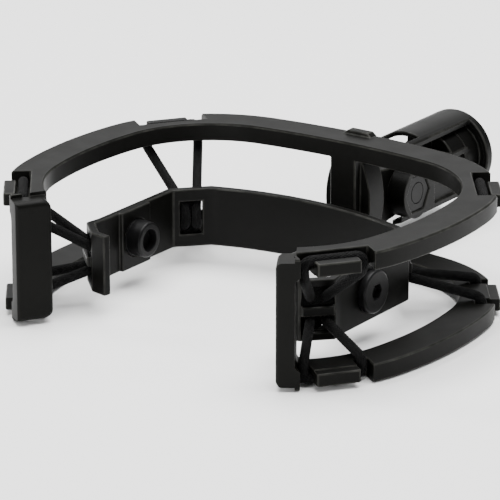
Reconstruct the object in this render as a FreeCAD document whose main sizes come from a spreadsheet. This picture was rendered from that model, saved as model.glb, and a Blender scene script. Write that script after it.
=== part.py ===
import FreeCAD, Part
import math
import os
from FreeCAD import Placement, Rotation, Vector

# Elastic suspension mount for a side-held microphone.
# +Z is up, +Y runs to the back along the threaded boss, +X is the right-hand side.
# All sizes are millimetres and degrees.

SIZES = [
    # Outer frame: plan of the C ring, a chain of tangent arcs from the front end to the rear
    ("half_width", 62.8),
    ("side_mid_y", 3.0),
    ("side_radius", 110.0),
    ("side_front_angle", 12.0),
    ("side_rear_angle", 9.0),
    ("front_corner_radius", 42.0),
    ("front_end_angle", 59.0),
    ("rear_corner_radius", 39.0),
    ("rear_corner_end", 82.0),
    ("ring_width", 10.0),
    ("ring_thickness", 5.0),
    ("frame_height", 35.0),
    ("edge_chamfer", 0.4),
    # Outer frame: end posts, rear pillar, hinge tongue and the small lug on top
    ("post_thickness", 4.8),
    ("post_step", 1.0),
    ("post_edge_fillet", 0.9),
    ("window_fillet", 2.0),
    ("pillar_width", 8.2),
    ("pillar_flare", 3.2),
    ("pillar_set_back", 2.6),
    ("tongue_width", 5.0),
    ("tongue_radius", 6.9),
    ("tongue_root_height", 19.0),
    ("lug_base", 9.0),
    ("lug_top", 6.4),
    ("lug_height", 1.1),
    ("lug_depth", 3.0),
    # Cord cleats on both rings
    ("front_cleat_angle", 37.0),
    ("rear_cleat_angle", 36.5),
    ("notch_half_span", 9.8),
    ("cleat_half_length", 5.8),
    ("cleat_proud", 0.6),
    ("cleat_drop", 1.2),
    ("cleat_thickness", 3.2),
    ("channel_width", 3.8),
    ("channel_depth", 3.2),
    # Elastic cord
    ("cord_diameter", 2.6),
    ("cord_seat_gap", 0.1),
    ("cord_pair_gap", 0.3),
    ("cord_exit", 1.0),
    ("cord_lead", 1.2),
    ("channel_bend", 2.0),
    ("notch_bend", 2.6),
    ("clip_bend", 2.4),
    # Cradle
    ("cradle_level", 13.3),
    ("cradle_height", 16.6),
    ("cradle_wall", 2.3),
    ("cradle_half_width", 39.3),
    ("cradle_rear_y", 31.7),
    ("cradle_rear_radius", 90.0),
    ("rear_clip_inset", 8.3),
    ("rear_clip_y", 17.5),
    ("pocket_start_y", -14.5),
    ("pocket_bulge", 0.7),
    ("front_clip_y", -18.6),
    ("front_clip_inset", 5.9),
    ("front_clip_end_y", -25.2),
    ("lip_inset", 10.9),
    ("lip_drop", 1.0),
    ("pad_length", 12.8),
    ("pad_thickness", 1.0),
    ("clip_window_height", 9.4),
    ("clip_window_width", 6.2),
    ("clip_relief_height", 12.0),
    ("clip_relief_width", 7.7),
    ("clip_relief_depth", 1.3),
    ("bar_height", 2.6),
    ("bar_length", 8.6),
    ("bar_thickness", 1.5),
    ("bar_sink", 0.3),
    # Side bolts and noses
    ("bolt_y", -1.5),
    ("nose_length", 7.7),
    ("nose_diameter", 9.8),
    ("nose_thread_diameter", 10.2),
    ("nose_shoulder_gap", 0.1),
    ("nose_socket", 4.5),
    ("nose_socket_depth", 2.4),
    ("bolt_head_diameter", 11.7),
    ("bolt_head_thickness", 2.2),
    ("bolt_head_chamfer", 0.4),
    ("bolt_shank_diameter", 6.0),
    ("bolt_socket", 4.0),
    ("bolt_socket_depth", 1.8),
    ("sliding_clearance", 0.05),
    # Swivel arm
    ("hinge_reach", 15.5),
    ("hinge_level", 15.0),
    ("ear_radius", 7.3),
    ("ear_thickness", 6.0),
    ("fork_gap", 5.2),
    ("fork_depth", 8.6),
    ("barrel_level", 17.5),
    ("barrel_radius", 12.2),
    ("barrel_wall", 1.4),
    ("barrel_reach", 33.8),
    ("strip_lead", 4.0),
    ("strip_width", 11.4),
    ("end_ring_length", 2.8),
    ("strip_window_width", 8.0),
    ("strip_window_start", 1.7),
    ("strip_window_end", 6.6),
    ("block_half_height", 6.8),
    ("boss_radius", 9.2),
    ("boss_length", 8.3),
    ("neck_radius", 9.0),
    ("neck_length", 7.2),
    ("neck_overlap", 0.5),
    ("end_web_thickness", 1.8),
    ("end_web_inset", 0.6),
    ("rib_thickness", 2.4),
    ("panel_recess", 1.0),
    ("panel_border", 1.6),
    ("thread_radius", 8.0),
    ("thread_depth", 12.5),
    ("thread_lead_in", 0.6),
    # Hinge bolt and nut
    ("hinge_shank_diameter", 6.0),
    ("hinge_hole_clearance", 0.1),
    ("hinge_head_diameter", 10.0),
    ("hinge_head_height", 3.2),
    ("hinge_socket", 4.0),
    ("hinge_socket_depth", 2.0),
    ("hinge_seat_depth", 3.4),
    ("nut_across_flats", 10.0),
    ("nut_height", 3.0),
    ("nut_clearance", 0.1),
]

doc = FreeCAD.newDocument("shock_mount")
sheet = doc.addObject("Spreadsheet::Sheet", "sizes")
for row, (alias, value) in enumerate(SIZES, start=1):
    sheet.set("A%d" % row, alias)
    sheet.set("B%d" % row, str(value))
    sheet.setAlias("B%d" % row, alias)
doc.recompute()


def size(alias):
    """The value of one cell of the sheet."""
    return float(sheet.get(alias))


def polar(centre, radius, degrees):
    """Point at an angle, in degrees from +X, on a circle in plan."""
    angle = math.radians(degrees)
    return Vector(centre.x + radius * math.cos(angle), centre.y + radius * math.sin(angle), 0)


# Plan of the C ring, right half. The inner outline is the outer one moved in by ring_width.
side_centre = Vector(size("half_width") - size("side_radius"), size("side_mid_y"), 0)
front_centre = polar(side_centre, size("side_radius") - size("front_corner_radius"),
                     -size("side_front_angle"))
rear_centre = polar(side_centre, size("side_radius") - size("rear_corner_radius"), size("side_rear_angle"))
rear_arc_radius = size("rear_corner_radius")
rear_arc_radius += rear_centre.x / math.cos(math.radians(size("rear_corner_end")))
rear_arc_centre = polar(rear_centre, size("rear_corner_radius") - rear_arc_radius, size("rear_corner_end"))
ring_rear_y = rear_arc_centre.y + rear_arc_radius
ring_front_y = polar(front_centre, size("front_corner_radius"), -size("front_end_angle")).y
hinge_y = ring_rear_y + size("hinge_reach")
barrel_rear_y = hinge_y + size("barrel_reach")


def ring_arcs(inset):
    """Arcs of the right half outline, front end to rear middle, moved in by inset."""
    corner_front = size("front_corner_radius") - inset
    corner_rear = size("rear_corner_radius") - inset
    spans = [
        (front_centre, corner_front, -size("front_end_angle"), -size("side_front_angle")),
        (side_centre, size("side_radius") - inset, -size("side_front_angle"), size("side_rear_angle")),
        (rear_centre, corner_rear, size("side_rear_angle"), size("rear_corner_end")),
        (rear_arc_centre, rear_arc_radius - inset, size("rear_corner_end"), 90.0),
    ]
    arcs = []
    for centre, radius, first, last in spans:
        middle = polar(centre, radius, (first + last) / 2)
        arcs.append((polar(centre, radius, first), middle, polar(centre, radius, last)))
    return arcs


def mirrored(point):
    """The point on the other side of the middle plane."""
    return Vector(-point.x, point.y, point.z)


def new_body(name):
    """An empty body whose label names its file."""
    body = doc.addObject("PartDesign::Body", name)
    body.Label = name
    return body


def new_sketch(body, name, role, offset="0 mm", shift_x="0 mm", shift_y="0 mm"):
    """A sketch on one of the body's own origin planes, moved by bound offsets."""
    plane = [item for item in body.Origin.OriginFeatures if item.Role == role][0]
    sketch = body.newObject("Sketcher::SketchObject", name)
    sketch.AttachmentSupport = [(plane, "")]
    sketch.MapMode = "FlatFace"
    sketch.setExpression("AttachmentOffset.Base.x", shift_x)
    sketch.setExpression("AttachmentOffset.Base.y", shift_y)
    sketch.setExpression("AttachmentOffset.Base.z", offset)
    return sketch


def close_loop(sketch, start, count):
    """Join the ends of count edges that run head to tail."""
    import Sketcher
    for step in range(count):
        following = start + (step + 1) % count
        sketch.addConstraint(Sketcher.Constraint("Coincident", start + step, 2, following, 1))


def draw_polygon(sketch, points):
    """A closed polygon, its corners held where the sizes put them."""
    start = sketch.GeometryCount
    for index, point in enumerate(points):
        following = points[(index + 1) % len(points)]
        sketch.addGeometry(Part.LineSegment(Vector(*point), Vector(*following)), False)
    close_loop(sketch, start, len(points))


def draw_bound_polygon(sketch, corners):
    """A closed polygon whose corners are bound to expressions of the sheet."""
    import Sketcher
    values = [tuple(float(sheet.evalExpression(text)) for text in corner) for corner in corners]
    start = sketch.GeometryCount
    draw_polygon(sketch, [(x, y, 0) for x, y in values])
    for index, (corner, value) in enumerate(zip(corners, values)):
        for kind, text, number in zip(("DistanceX", "DistanceY"), corner, value):
            made = sketch.addConstraint(Sketcher.Constraint(kind, -1, 1, start + index, 1, number))
            sketch.setExpression("Constraints[%d]" % made, text)


def draw_bound_circle(sketch, radius, centre_x="0", centre_y="0"):
    """A circle whose radius and centre are bound to expressions of the sheet."""
    import Sketcher
    x, y, r = (float(sheet.evalExpression(text)) for text in (centre_x, centre_y, radius))
    made = sketch.addGeometry(Part.Circle(Vector(x, y, 0), Vector(0, 0, 1), r), False)
    for kind, text, number in (("DistanceX", centre_x, x), ("DistanceY", centre_y, y)):
        held = sketch.addConstraint(Sketcher.Constraint(kind, -1, 1, made, 3, number))
        sketch.setExpression("Constraints[%d]" % held, text)
    held = sketch.addConstraint(Sketcher.Constraint("Radius", made, r))
    sketch.setExpression("Constraints[%d]" % held, radius)


def draw_hexagon(sketch, across_flats):
    """A hexagon with two corners on the sketch's own X axis."""
    corners = []
    for step in range(6):
        angle = 60 * step
        reach = "%s / 2 / cos(30 deg)" % across_flats
        corners.append(("%s * cos(%d deg)" % (reach, angle), "%s * sin(%d deg)" % (reach, angle)))
    draw_bound_polygon(sketch, corners)


def add_pad(body, sketch, name, length, midplane=False, backwards=False):
    """Raise a sketch by a bound length."""
    pad = body.newObject("PartDesign::Pad", name)
    pad.Profile = sketch
    pad.setExpression("Length", length)
    pad.Midplane = midplane
    pad.Reversed = backwards
    doc.recompute()
    return pad


def add_pocket(body, sketch, name, length, midplane=False, backwards=False):
    """Cut a sketch away over a bound length and make sure that it bites."""
    before = body.Shape.Volume
    pocket = body.newObject("PartDesign::Pocket", name)
    pocket.Profile = sketch
    pocket.setExpression("Length", length)
    pocket.Midplane = midplane
    pocket.Reversed = backwards
    doc.recompute()
    if body.Shape.Volume >= before:
        raise RuntimeError("pocket %s cuts nothing" % name)
    return pocket


def edge_names(shape, chosen):
    """Names of the edges that a test picks out."""
    return ["Edge%d" % (number + 1) for number, edge in enumerate(shape.Edges) if chosen(edge)]


def add_fillet(body, name, chosen, radius):
    """Round the chosen edges of the body's last feature."""
    tip = body.Tip
    fillet = body.newObject("PartDesign::Fillet", name)
    fillet.Base = (tip, edge_names(tip.Shape, chosen))
    fillet.setExpression("Radius", radius)
    doc.recompute()
    return fillet


def add_chamfer(body, name, chosen, width):
    """Bevel the chosen edges of the body's last feature."""
    tip = body.Tip
    chamfer = body.newObject("PartDesign::Chamfer", name)
    chamfer.Base = (tip, edge_names(tip.Shape, chosen))
    chamfer.setExpression("Size", width)
    doc.recompute()
    return chamfer


def plan_box(centre, outward_degrees, near, far, half_length, side_shift=0.0):
    """Corners of a plan rectangle that faces outward from a centre at an angle."""
    out = polar(Vector(), 1, outward_degrees)
    along = polar(Vector(), 1, outward_degrees + 90)
    corners = []
    for reach, side in ((near, -1), (far, -1), (far, 1), (near, 1)):
        corners.append(tuple(centre + out * reach + along * (side_shift + side * half_length)))
    return corners


def mirror_corners(corners):
    """The same plan corners on the other side, still running the same way round."""
    return [tuple(mirrored(Vector(*corner))) for corner in reversed(corners)]


# Outer frame: one C band of full height, cut through between its rings.
frame = new_body("outer_frame")
band_sketch = new_sketch(frame, "band_plan", "XY_Plane")
outer_arcs = ring_arcs(0)
inner_arcs = ring_arcs(size("ring_width"))
edges = []
for first, middle, last in outer_arcs:
    edges.append(Part.Arc(first, middle, last))
for first, middle, last in reversed(outer_arcs):
    edges.append(Part.Arc(mirrored(last), mirrored(middle), mirrored(first)))
edges.append(Part.LineSegment(mirrored(outer_arcs[0][0]), mirrored(inner_arcs[0][0])))
for first, middle, last in inner_arcs:
    edges.append(Part.Arc(mirrored(first), mirrored(middle), mirrored(last)))
for first, middle, last in reversed(inner_arcs):
    edges.append(Part.Arc(last, middle, first))
edges.append(Part.LineSegment(inner_arcs[0][0], outer_arcs[0][0]))
for edge in edges:
    band_sketch.addGeometry(edge, False)
add_pad(frame, band_sketch, "band", "sizes.frame_height")

end_points = [outer_arcs[0][0], inner_arcs[0][0], mirrored(outer_arcs[0][0]), mirrored(inner_arcs[0][0])]


def is_end_edge(edge):
    """An upright edge at one of the corners of the two end faces."""
    low = edge.BoundBox.Center
    upright = edge.BoundBox.ZLength > size("frame_height") * 0.9
    return upright and any(math.hypot(low.x - p.x, low.y - p.y) < 0.01 for p in end_points)


def is_top_or_bottom(edge):
    """An edge that lies in the top or the bottom face."""
    box = edge.BoundBox
    level = box.ZLength < 0.001
    return level and (abs(box.ZMin) < 0.001 or abs(box.ZMax - size("frame_height")) < 0.001)


add_fillet(frame, "end_edges", is_end_edge, "sizes.post_edge_fillet")
add_chamfer(frame, "ring_edges", is_top_or_bottom, "sizes.edge_chamfer")

# Between the rings everything goes but the two end posts and the rear pillar.
end_out = polar(Vector(), 1, -size("front_end_angle"))
end_back = polar(Vector(), 1, 90 - size("front_end_angle"))
post_line = front_centre + end_back * size("post_thickness")
beyond = size("ring_width")
pillar_half = size("pillar_width") / 2
window_corners = [
    post_line + end_out * (size("front_corner_radius") - 2 * size("ring_width")),
    post_line + end_out * (size("front_corner_radius") + beyond),
    Vector(size("half_width") + beyond, ring_front_y, 0),
    Vector(size("half_width") + beyond, ring_rear_y + beyond, 0),
    Vector(pillar_half, ring_rear_y + beyond, 0),
    Vector(pillar_half, ring_rear_y - 2 * size("ring_width"), 0),
]
window_corners = [tuple(corner) for corner in window_corners]
gap_sketch = new_sketch(frame, "gap_plan", "XY_Plane", "sizes.ring_thickness")
draw_polygon(gap_sketch, window_corners)
draw_polygon(gap_sketch, mirror_corners(window_corners))
add_pocket(frame, gap_sketch, "ring_gap", "sizes.frame_height - 2 * sizes.ring_thickness", backwards=True)


def is_window_corner(edge):
    """A corner between a post and a ring, across the band."""
    box = edge.BoundBox
    levels = (size("ring_thickness"), size("frame_height") - size("ring_thickness"))
    if box.ZLength > 0.001 or not any(abs(box.ZMin - level) < 0.001 for level in levels):
        return False
    side = Vector(abs(box.Center.x), box.Center.y, 0) - post_line
    return abs(side.dot(end_back)) < 0.05 and edge.Length > size("ring_width") * 0.9


add_fillet(frame, "window_corners", is_window_corner, "sizes.window_fillet")

# The posts stop a step below the ring's top face and above its bottom face.
step_corners = plan_box(front_centre, -size("front_end_angle"), size("front_corner_radius") - 1.5 * beyond,
                        size("front_corner_radius") + beyond, size("post_thickness"))
for step_name, step_offset, cut_backwards in (
        ("top", "sizes.frame_height - sizes.post_step", True), ("bottom", "0 mm", True)):
    step_sketch = new_sketch(frame, "post_step_" + step_name, "XY_Plane", step_offset)
    draw_polygon(step_sketch, step_corners)
    draw_polygon(step_sketch, mirror_corners(step_corners))
    add_pocket(frame, step_sketch, "post_step_cut_" + step_name, "sizes.post_step", backwards=cut_backwards)

# Notches and channels of the eight cleats, cut through both rings at once.
cleat_sites = [
    ("front", front_centre, size("front_corner_radius"), -size("front_cleat_angle")),
    ("rear", rear_centre, size("rear_corner_radius"), size("rear_cleat_angle")),
]
channel_outer = size("cleat_proud") - size("cleat_thickness")
channel_inner = channel_outer - size("channel_width")


def cleat_boxes(near, far, half_length):
    """One plan rectangle for each of the four cleat sites, measured from the ring's outer edge."""
    boxes = []
    for _, centre, radius, degrees in cleat_sites:
        corners = plan_box(centre, degrees, radius + near, radius + far, half_length)
        boxes += [corners, mirror_corners(corners)]
    return boxes


notch_sketch = new_sketch(frame, "notch_plan", "XY_Plane")
for corners in cleat_boxes(channel_inner, beyond, size("notch_half_span")):
    draw_polygon(notch_sketch, corners)
add_pocket(frame, notch_sketch, "notches", "sizes.frame_height", backwards=True)

cleat_levels = [
    ("upper", "sizes.frame_height - sizes.ring_thickness", "sizes.ring_thickness - sizes.channel_depth",
     "sizes.frame_height - sizes.ring_thickness + sizes.cleat_drop / 4",
     "sizes.ring_thickness - sizes.cleat_drop * 5 / 4"),
    ("lower", "sizes.channel_depth", "sizes.ring_thickness - sizes.channel_depth",
     "sizes.cleat_drop", "sizes.ring_thickness - sizes.cleat_drop * 5 / 4"),
]
overlap = 0.4
for level, floor_start, floor_height, block_start, block_height in cleat_levels:
    floor_sketch = new_sketch(frame, level + "_floor_plan", "XY_Plane", floor_start)
    for corners in cleat_boxes(channel_inner - overlap, channel_outer + overlap, size("cleat_half_length")):
        draw_polygon(floor_sketch, corners)
    add_pad(frame, floor_sketch, level + "_channel_floors", floor_height)
    block_sketch = new_sketch(frame, level + "_block_plan", "XY_Plane", block_start)
    for corners in cleat_boxes(channel_outer, size("cleat_proud"), size("cleat_half_length")):
        draw_polygon(block_sketch, corners)
    add_pad(frame, block_sketch, level + "_cleats", block_height)

# The rear pillar swells towards its middle, where the hinge tongue grows out of it.
pillar_low = size("ring_thickness")
pillar_high = size("frame_height") - size("ring_thickness")
pillar_mid = size("frame_height") / 2
swell = pillar_half + size("pillar_flare")
flare_sketch = new_sketch(frame, "pillar_flare_face", "XZ_Plane", "0 mm")
low_right = Vector(pillar_half, pillar_low, 0)
high_right = Vector(pillar_half, pillar_high, 0)
flare_sketch.addGeometry(Part.Arc(low_right, Vector(swell, pillar_mid, 0), high_right), False)
flare_sketch.addGeometry(Part.LineSegment(high_right, mirrored(high_right)), False)
left_swell = Vector(-swell, pillar_mid, 0)
flare_sketch.addGeometry(Part.Arc(mirrored(high_right), left_swell, mirrored(low_right)), False)
flare_sketch.addGeometry(Part.LineSegment(mirrored(low_right), low_right), False)
flare_start = ring_rear_y - size("ring_width") + size("pillar_set_back")
flare_sketch.setExpression("AttachmentOffset.Base.z", "%.6f mm" % -flare_start)
flare_length = ring_rear_y - flare_start
add_pad(frame, flare_sketch, "pillar_flare_body", "%.6f mm" % flare_length, backwards=True)

# Hinge tongue: a disc round the hinge axis and a root that widens to the pillar.
tongue_sketch = new_sketch(frame, "tongue_face", "YZ_Plane")
hinge_axis = Vector(hinge_y, size("hinge_level"), 0)
root_y = ring_rear_y - size("ring_width") / 2
root_half = size("tongue_root_height") / 2
root_level = size("hinge_level")
root_top = Vector(root_y, root_level + root_half, 0)
reach = root_top.distanceToPoint(hinge_axis)
touch = math.degrees(math.atan2(root_top.y - hinge_axis.y, root_top.x - hinge_axis.x))
touch -= math.degrees(math.acos(size("tongue_radius") / reach))
tongue_top = polar(hinge_axis, size("tongue_radius"), touch)
tongue_low = Vector(tongue_top.x, 2 * root_level - tongue_top.y, 0)
root_low = Vector(root_y, root_level - root_half, 0)
tongue_tip = Vector(hinge_axis.x + size("tongue_radius"), root_level, 0)
tongue_sketch.addGeometry(Part.LineSegment(root_top, tongue_top), False)
tongue_sketch.addGeometry(Part.Arc(tongue_top, tongue_tip, tongue_low), False)
tongue_sketch.addGeometry(Part.LineSegment(tongue_low, root_low), False)
tongue_sketch.addGeometry(Part.LineSegment(root_low, root_top), False)
add_pad(frame, tongue_sketch, "tongue", "sizes.tongue_width", midplane=True)

hinge_y_text = "%.6f" % hinge_y
hinge_hole = new_sketch(frame, "hinge_hole", "YZ_Plane")
draw_bound_circle(hinge_hole, "sizes.hinge_shank_diameter / 2 + sizes.hinge_hole_clearance",
                  hinge_y_text, "sizes.hinge_level")
add_pocket(frame, hinge_hole, "hinge_bore", "3 * sizes.tongue_width", midplane=True)

# Small raised lug over the pillar, on the ring's top.
lug_sketch = new_sketch(frame, "lug_face", "XZ_Plane", "%.6f mm" % -ring_rear_y)
draw_bound_polygon(lug_sketch, [
    ("-sizes.lug_base / 2", "sizes.frame_height - sizes.edge_chamfer"),
    ("sizes.lug_base / 2", "sizes.frame_height - sizes.edge_chamfer"),
    ("sizes.lug_base / 2", "sizes.frame_height"),
    ("sizes.lug_top / 2", "sizes.frame_height + sizes.lug_height"),
    ("-sizes.lug_top / 2", "sizes.frame_height + sizes.lug_height"),
    ("-sizes.lug_base / 2", "sizes.frame_height"),
])
add_pad(frame, lug_sketch, "lug", "sizes.lug_depth")


# Cradle: an inner C band whose plan is drawn once and given its wall by a parallel line.
def rear_arc_y(x, inset):
    """Height in plan of the cradle's rear arc at x."""
    radius = size("cradle_rear_radius") - inset
    return size("cradle_rear_y") - size("cradle_rear_radius") + math.sqrt(radius ** 2 - x ** 2)


def parallel_corners(points, inset):
    """Corners of the open line moved to its left by inset, with mitred joints."""
    lines = []
    for first, last in zip(points, points[1:]):
        run = (last - first).normalize()
        lines.append((first + Vector(-run.y, run.x, 0) * inset, run))
    moved = [lines[0][0]]
    for (first, run), (other, other_run) in zip(lines, lines[1:]):
        cross = run.x * other_run.y - run.y * other_run.x
        gap = other - first
        moved.append(first + run * ((gap.x * other_run.y - gap.y * other_run.x) / cross))
    last_side = Vector(-lines[-1][1].y, lines[-1][1].x, 0)
    moved.append(points[-1] + last_side * inset)
    return moved


half_width = size("cradle_half_width")
rear_clip_x = half_width - size("rear_clip_inset")
cradle_line = [
    Vector(half_width - size("lip_inset"), size("front_clip_end_y") - size("lip_drop"), 0),
    Vector(half_width - size("front_clip_inset"), size("front_clip_end_y"), 0),
    Vector(half_width + size("pocket_bulge"), size("front_clip_y"), 0),
    Vector(half_width, size("pocket_start_y"), 0),
    Vector(half_width, size("rear_clip_y"), 0),
    Vector(rear_clip_x, rear_arc_y(rear_clip_x, 0), 0),
]
inner_line = parallel_corners(cradle_line, size("cradle_wall"))
rear_joint = inner_line[-2]
clip_run = (cradle_line[-1] - cradle_line[-2]).normalize()
rear_inner_x = rear_joint.x
while rear_joint.y + (rear_joint.x - rear_inner_x) * clip_run.y / -clip_run.x < rear_arc_y(
        rear_inner_x, size("cradle_wall")):
    rear_inner_x -= 0.01
inner_line[-1] = Vector(rear_inner_x, rear_arc_y(rear_inner_x, size("cradle_wall")), 0)

cradle = new_body("cradle")
cradle_low = "sizes.cradle_level - sizes.cradle_height / 2"
cradle_sketch = new_sketch(cradle, "cradle_plan", "XY_Plane", cradle_low)
outer_top = Vector(0, size("cradle_rear_y"), 0)
inner_top = Vector(0, size("cradle_rear_y") - size("cradle_wall"), 0)
for first, last in zip(cradle_line, cradle_line[1:]):
    cradle_sketch.addGeometry(Part.LineSegment(first, last), False)
cradle_sketch.addGeometry(Part.Arc(cradle_line[-1], outer_top, mirrored(cradle_line[-1])), False)
for last, first in reversed(list(zip(cradle_line, cradle_line[1:]))):
    cradle_sketch.addGeometry(Part.LineSegment(mirrored(first), mirrored(last)), False)
cradle_sketch.addGeometry(Part.LineSegment(mirrored(cradle_line[0]), mirrored(inner_line[0])), False)
for first, last in zip(inner_line, inner_line[1:]):
    cradle_sketch.addGeometry(Part.LineSegment(mirrored(first), mirrored(last)), False)
cradle_sketch.addGeometry(Part.Arc(mirrored(inner_line[-1]), inner_top, inner_line[-1]), False)
for last, first in reversed(list(zip(inner_line, inner_line[1:]))):
    cradle_sketch.addGeometry(Part.LineSegment(first, last), False)
cradle_sketch.addGeometry(Part.LineSegment(inner_line[0], cradle_line[0]), False)
add_pad(cradle, cradle_sketch, "cradle_band", "sizes.cradle_height")

# Raised pads round the bolt holes, on the inside.
pad_sketch = new_sketch(cradle, "pad_plan", "XY_Plane", cradle_low)
pad_face = half_width - size("cradle_wall")
pad_corners = [
    (pad_face - size("pad_thickness"), size("bolt_y") - size("pad_length") / 2, 0),
    (pad_face + size("cradle_wall") / 2, size("bolt_y") - size("pad_length") / 2, 0),
    (pad_face + size("cradle_wall") / 2, size("bolt_y") + size("pad_length") / 2, 0),
    (pad_face - size("pad_thickness"), size("bolt_y") + size("pad_length") / 2, 0),
]
draw_polygon(pad_sketch, pad_corners)
draw_polygon(pad_sketch, mirror_corners(pad_corners))
add_pad(cradle, pad_sketch, "bolt_pads", "sizes.cradle_height")

# Cord clips: a window through the wall, a wider relief outside and a bar across it.
clip_faces = {}
for clip_name, corner in (("front", 1), ("rear", 4)):
    first, last = cradle_line[corner:corner + 2]
    run = last - first
    degrees = math.degrees(math.atan2(-run.x, run.y))
    clip_faces[clip_name] = ((first + last) * 0.5, degrees)


def clip_boxes(near, far, half_length):
    """One plan rectangle for each of the four clips, measured out from the cradle's outer face."""
    boxes = []
    for middle, degrees in clip_faces.values():
        corners = plan_box(middle, degrees, near, far, half_length)
        boxes += [corners, mirror_corners(corners)]
    return boxes


wall = size("cradle_wall")
for cut_name, near, height, width in (
        ("window", -2 * wall, "sizes.clip_window_height", "clip_window_width"),
        ("relief", -size("clip_relief_depth"), "sizes.clip_relief_height", "clip_relief_width")):
    cut_sketch = new_sketch(cradle, "clip_%s_plan" % cut_name, "XY_Plane", "sizes.cradle_level")
    for corners in clip_boxes(near, wall, size(width) / 2):
        draw_polygon(cut_sketch, corners)
    add_pocket(cradle, cut_sketch, "clip_" + cut_name, height, midplane=True)
bar_sketch = new_sketch(cradle, "clip_bar_plan", "XY_Plane", "sizes.cradle_level - sizes.bar_height / 2")
bar_face = size("bar_thickness") - size("bar_sink")
for corners in clip_boxes(-size("bar_sink"), bar_face, size("bar_length") / 2):
    draw_polygon(bar_sketch, corners)
add_pad(cradle, bar_sketch, "clip_bars", "sizes.bar_height")

bolt_holes = new_sketch(cradle, "bolt_holes", "YZ_Plane")
draw_bound_circle(bolt_holes, "sizes.nose_thread_diameter / 2 + sizes.sliding_clearance",
                  "sizes.bolt_y", "sizes.cradle_level")
add_pocket(cradle, bolt_holes, "bolt_bores", "3 * sizes.cradle_half_width", midplane=True)


# Side bolts and noses, turned about an axis along X.
def turned_body(name, corners, axis_y, axis_z):
    """A body of revolution about a line along X through the given place in Y and Z."""
    body = new_body(name)
    sketch = new_sketch(body, name + "_profile", "XZ_Plane", "-(%s)" % axis_y, shift_y=axis_z)
    draw_bound_polygon(sketch, corners)
    turn = body.newObject("PartDesign::Revolution", name + "_turned")
    turn.Profile = sketch
    turn.ReferenceAxis = (sketch, ["H_Axis"])
    turn.Angle = 360
    doc.recompute()
    return body


def cut_hexagon(body, name, across_flats, face_x, depth, inward, axis_y, axis_z):
    """A hexagonal socket cut from a face, towards inward along X."""
    sketch = new_sketch(body, name + "_face", "YZ_Plane", face_x, axis_y, axis_z)
    draw_hexagon(sketch, across_flats)
    add_pocket(body, sketch, name, depth, backwards=inward > 0)


sides = (("left", -1), ("right", 1))
side_parts = {}
for side_name, sign in sides:
    head_base = "sizes.cradle_half_width + sizes.sliding_clearance"
    shank = "sizes.bolt_shank_diameter / 2"
    nose_tip = "sizes.cradle_half_width - sizes.nose_length"
    tip = "%s + sizes.nose_socket_depth" % nose_tip
    mark = "" if sign > 0 else "-"
    bore = "%s + sizes.sliding_clearance" % shank
    shoulder = "sizes.cradle_half_width - sizes.cradle_wall - sizes.pad_thickness - sizes.nose_shoulder_gap"
    nose = turned_body(side_name + "_side_nose", [
        ("%s(%s)" % (mark, nose_tip), bore),
        ("%s(%s)" % (mark, nose_tip), "sizes.nose_diameter / 2 - sizes.bolt_head_chamfer"),
        ("%s(%s + sizes.bolt_head_chamfer)" % (mark, nose_tip), "sizes.nose_diameter / 2"),
        ("%s(%s)" % (mark, shoulder), "sizes.nose_diameter / 2"),
        ("%s(%s)" % (mark, shoulder), "sizes.nose_thread_diameter / 2"),
        ("%s(sizes.cradle_half_width)" % mark, "sizes.nose_thread_diameter / 2"),
        ("%s(sizes.cradle_half_width)" % mark, bore),
    ], "sizes.bolt_y", "sizes.cradle_level")
    bolt = turned_body(side_name + "_side_bolt", [
        ("%s(%s)" % (mark, tip), "0"),
        ("%s(%s)" % (mark, tip), shank),
        ("%s(%s)" % (mark, head_base), shank),
        ("%s(%s)" % (mark, head_base), "sizes.bolt_head_diameter / 2"),
        ("%s(%s + sizes.bolt_head_thickness - sizes.bolt_head_chamfer)" % (mark, head_base),
         "sizes.bolt_head_diameter / 2"),
        ("%s(%s + sizes.bolt_head_thickness)" % (mark, head_base),
         "sizes.bolt_head_diameter / 2 - sizes.bolt_head_chamfer"),
        ("%s(%s + sizes.bolt_head_thickness)" % (mark, head_base), "0"),
    ], "sizes.bolt_y", "sizes.cradle_level")
    cut_hexagon(bolt, side_name + "_bolt_socket", "sizes.bolt_socket",
                "%s(%s + sizes.bolt_head_thickness)" % (mark, head_base), "sizes.bolt_socket_depth",
                -sign, "sizes.bolt_y", "sizes.cradle_level")
    side_parts[side_name] = (nose, bolt)


# Swivel arm: a slotted barrel round a threaded boss, with a block that ends in two ears.
def bound(thing, **expressions):
    """Bind properties of a primitive to the sheet."""
    for name, text in expressions.items():
        thing.setExpression(name.replace("__", "."), text)
    return thing


def box(name, low, high):
    """A box between two corners given as expressions."""
    made = doc.addObject("Part::Box", name)
    for axis, side, first, last in zip("xyz", ("Length", "Width", "Height"), low, high):
        made.setExpression("Placement.Base." + axis, first)
        made.setExpression(side, "(%s) - (%s)" % (last, first))
    return made


def rod(name, radius, start, length, direction):
    """A cylinder along X or Y from a start point, sizes given as expressions."""
    made = doc.addObject("Part::Cylinder", name)
    turn = Rotation(Vector(0, 1, 0), 90) if direction == "X" else Rotation(Vector(1, 0, 0), -90)
    made.Placement = Placement(Vector(), turn)
    for axis, text in zip("xyz", start):
        made.setExpression("Placement.Base." + axis, text)
    return bound(made, Radius=radius, Height=length)


def join(name, things):
    """One solid from several."""
    made = doc.addObject("Part::MultiFuse", name)
    made.Shapes = things
    return made


def cut(name, base, tool):
    """A solid less another."""
    made = doc.addObject("Part::Cut", name)
    made.Base = base
    made.Tool = tool
    return made


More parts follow.
